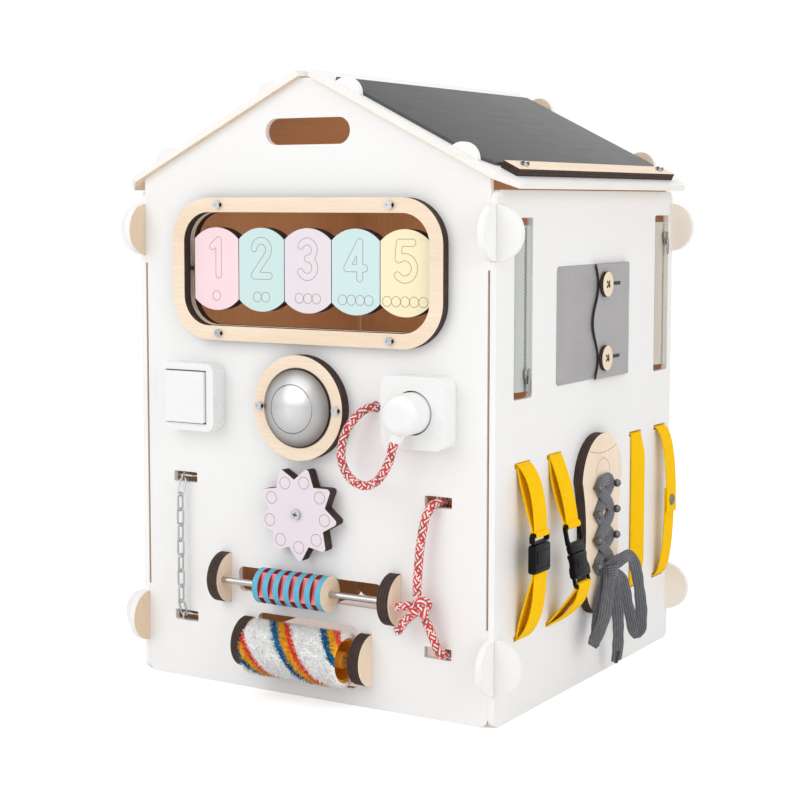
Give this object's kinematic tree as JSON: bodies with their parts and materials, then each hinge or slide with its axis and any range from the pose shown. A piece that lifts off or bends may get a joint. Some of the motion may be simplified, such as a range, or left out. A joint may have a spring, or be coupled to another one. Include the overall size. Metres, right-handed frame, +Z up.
{
  "type": "wooden activity house",
  "caption": "White plywood play house with roof blackboard, number tiles, switch, push light, plug, rollers, chain, zips, buckled straps and a lace-up shoe.",
  "frame": {"origin": "middle of the front wall's bottom edge, at half its thickness", "axes": "+X right as seen from the front, +Y to the back, +Z up"},
  "size_m": [0.4595, 0.481, 0.5968],
  "materials": {
    "white_panel": "satin",
    "blackboard": "matte",
    "plywood": "matte",
    "steel": "satin",
    "tile_pink": "satin",
    "tile_mint": "satin",
    "tile_lilac": "satin",
    "tile_blue": "satin",
    "tile_yellow": "satin",
    "white_plastic": "gloss",
    "silver_plastic": "satin",
    "clear_plastic": "gloss",
    "battery": "satin",
    "lilac_wood": "satin",
    "drum_blue": "satin",
    "orange_plastic": "satin",
    "pile": "matte",
    "red_cord": "matte",
    "grey_tape": "matte",
    "beige_tape": "matte",
    "grey_leathercloth": "matte",
    "yellow_webbing": "matte",
    "black_plastic": "satin",
    "grey_lace": "matte"
  },
  "bodies": {
    "house": {"front_wall": "white_panel", "back_wall": "white_panel", "left_wall": "white_panel", "right_wall": "white_panel", "left_roof_panel": "white_panel", "right_roof_panel": "white_panel", "blackboard": "blackboard", "chalk_ledge": "plywood", "wood_screws": "steel", "window_frame": "plywood", "window_backing_frame": "plywood", "tile_rod": "steel", "switch_base": "white_plastic", "light_ring": "plywood", "light_base": "silver_plastic", "light_bezel": "silver_plastic", "light_batteries": "battery", "star_bolt": "steel", "upper_brackets": "plywood", "lower_brackets": "plywood", "lower_rod": "steel", "chain": "steel", "socket_base": "white_plastic", "plug_cord": "red_cord", "rope": "red_cord", "rope_knot": "red_cord", "front_zip_tape": "grey_tape", "rear_zip_tape": "beige_tape", "pouch_panel": "grey_leathercloth", "pouch_buttons": "plywood", "strap_1_upper": "yellow_webbing", "strap_1_lower": "yellow_webbing", "buckle_1_body": "black_plastic", "strap_2_upper": "yellow_webbing", "strap_2_lower": "yellow_webbing", "buckle_2_female": "black_plastic", "strap_3": "yellow_webbing", "strap_4_lower": "yellow_webbing", "shoe_board": "plywood", "lace_hooks": "steel", "shoelace": "grey_lace"},
    "switch_rocker": {"switch_rocker": "white_plastic"},
    "light_cap": {"light_cap": "clear_plastic"},
    "star_wheel": {"star_wheel": "lilac_wood"},
    "upper_rod": {"upper_rod": "steel"},
    "striped_drum": {"striped_drum": "drum_blue"},
    "paint_roller": {"paint_roller_core": "orange_plastic", "paint_roller_sleeve": "pile"},
    "plug": {"plug": "white_plastic"},
    "front_zip_slider": {"front_zip_slider": "grey_tape"},
    "rear_zip_slider": {"rear_zip_slider": "beige_tape"},
    "pouch_flap": {"pouch_flap": "grey_leathercloth"},
    "buckle_1_tongue": {"buckle_1_tongue": "black_plastic"},
    "buckle_2_male": {"buckle_2_male": "black_plastic"},
    "strap_4_upper": {"strap_4_upper": "yellow_webbing"},
    "number_tile_1": {"number_tile_1": "tile_pink"},
    "number_tile_2": {"number_tile_2": "tile_mint"},
    "number_tile_3": {"number_tile_3": "tile_lilac"},
    "number_tile_4": {"number_tile_4": "tile_blue"},
    "number_tile_5": {"number_tile_5": "tile_yellow"}
  },
  "joints": [
    {"name": "tile_1_spin", "type": "hinge", "parent": "house", "child": "number_tile_1", "pos_m": [-0.10404, 0, 0.41], "axis": [1, 0, 0], "continuous": true},
    {"name": "tile_2_spin", "type": "hinge", "parent": "house", "child": "number_tile_2", "pos_m": [-0.05092, 0, 0.41], "axis": [1, 0, 0], "continuous": true},
    {"name": "tile_3_spin", "type": "hinge", "parent": "house", "child": "number_tile_3", "pos_m": [0.0022, 0, 0.41], "axis": [1, 0, 0], "continuous": true},
    {"name": "tile_4_spin", "type": "hinge", "parent": "house", "child": "number_tile_4", "pos_m": [0.05532, 0, 0.41], "axis": [1, 0, 0], "continuous": true},
    {"name": "tile_5_spin", "type": "hinge", "parent": "house", "child": "number_tile_5", "pos_m": [0.10844, 0, 0.41], "axis": [1, 0, 0], "continuous": true},
    {"name": "rocker_tilt", "type": "hinge", "parent": "house", "child": "switch_rocker", "pos_m": [-0.13, -0.0151, 0.2855], "axis": [1, 0, 0], "range_deg": [-4, 4]},
    {"name": "light_press", "type": "slide", "parent": "house", "child": "light_cap", "axis": [0, 1, 0], "range_m": [0, 0.003], "stiffness_N_per_m": 600},
    {"name": "star_spin", "type": "hinge", "parent": "house", "child": "star_wheel", "pos_m": [-0.004, -0.012, 0.18], "axis": [0, 1, 0], "continuous": true},
    {"name": "upper_rod_spin", "type": "hinge", "parent": "house", "child": "upper_rod", "pos_m": [0, -0.017, 0.1075], "axis": [1, 0, 0], "continuous": true},
    {"name": "drum_slide", "type": "slide", "parent": "upper_rod", "child": "striped_drum", "axis": [1, 0, 0], "range_m": [-0.0345, 0.0455]},
    {"name": "paint_roller_spin", "type": "hinge", "parent": "house", "child": "paint_roller", "pos_m": [-0.002, -0.017, 0.0465], "axis": [1, 0, 0], "continuous": true},
    {"name": "plug_pull", "type": "slide", "parent": "house", "child": "plug", "axis": [0, -1, 0], "range_m": [0, 0.03], "deforming": ["plug_cord"]},
    {"name": "front_zip_run", "type": "slide", "parent": "house", "child": "front_zip_slider", "axis": [0, 0, 1], "range_m": [0, 0.125]},
    {"name": "rear_zip_run", "type": "slide", "parent": "house", "child": "rear_zip_slider", "axis": [0, 0, 1], "range_m": [-0.12, 0]},
    {"name": "flap_turn", "type": "hinge", "parent": "house", "child": "pouch_flap", "pos_m": [0.2045, 0.2802, 0.3573], "axis": [0, 0, 1], "range_deg": [0, 150], "deforming": ["pouch_flap"]},
    {"name": "buckle_1_pull", "type": "slide", "parent": "house", "child": "buckle_1_tongue", "axis": [0, 0, 1], "range_m": [0, 0.03], "deforming": ["strap_1_upper"]},
    {"name": "buckle_2_pull", "type": "slide", "parent": "house", "child": "buckle_2_male", "axis": [-0.2079, 0, 0.9781], "range_m": [0, 0.03], "deforming": ["strap_2_upper"]},
    {"name": "snap_open", "type": "hinge", "parent": "house", "child": "strap_4_upper", "pos_m": [0.2, 0.374, 0.235], "axis": [0, -1, 0], "range_deg": [0, 50], "deforming": ["strap_4_upper"]}
  ]
}
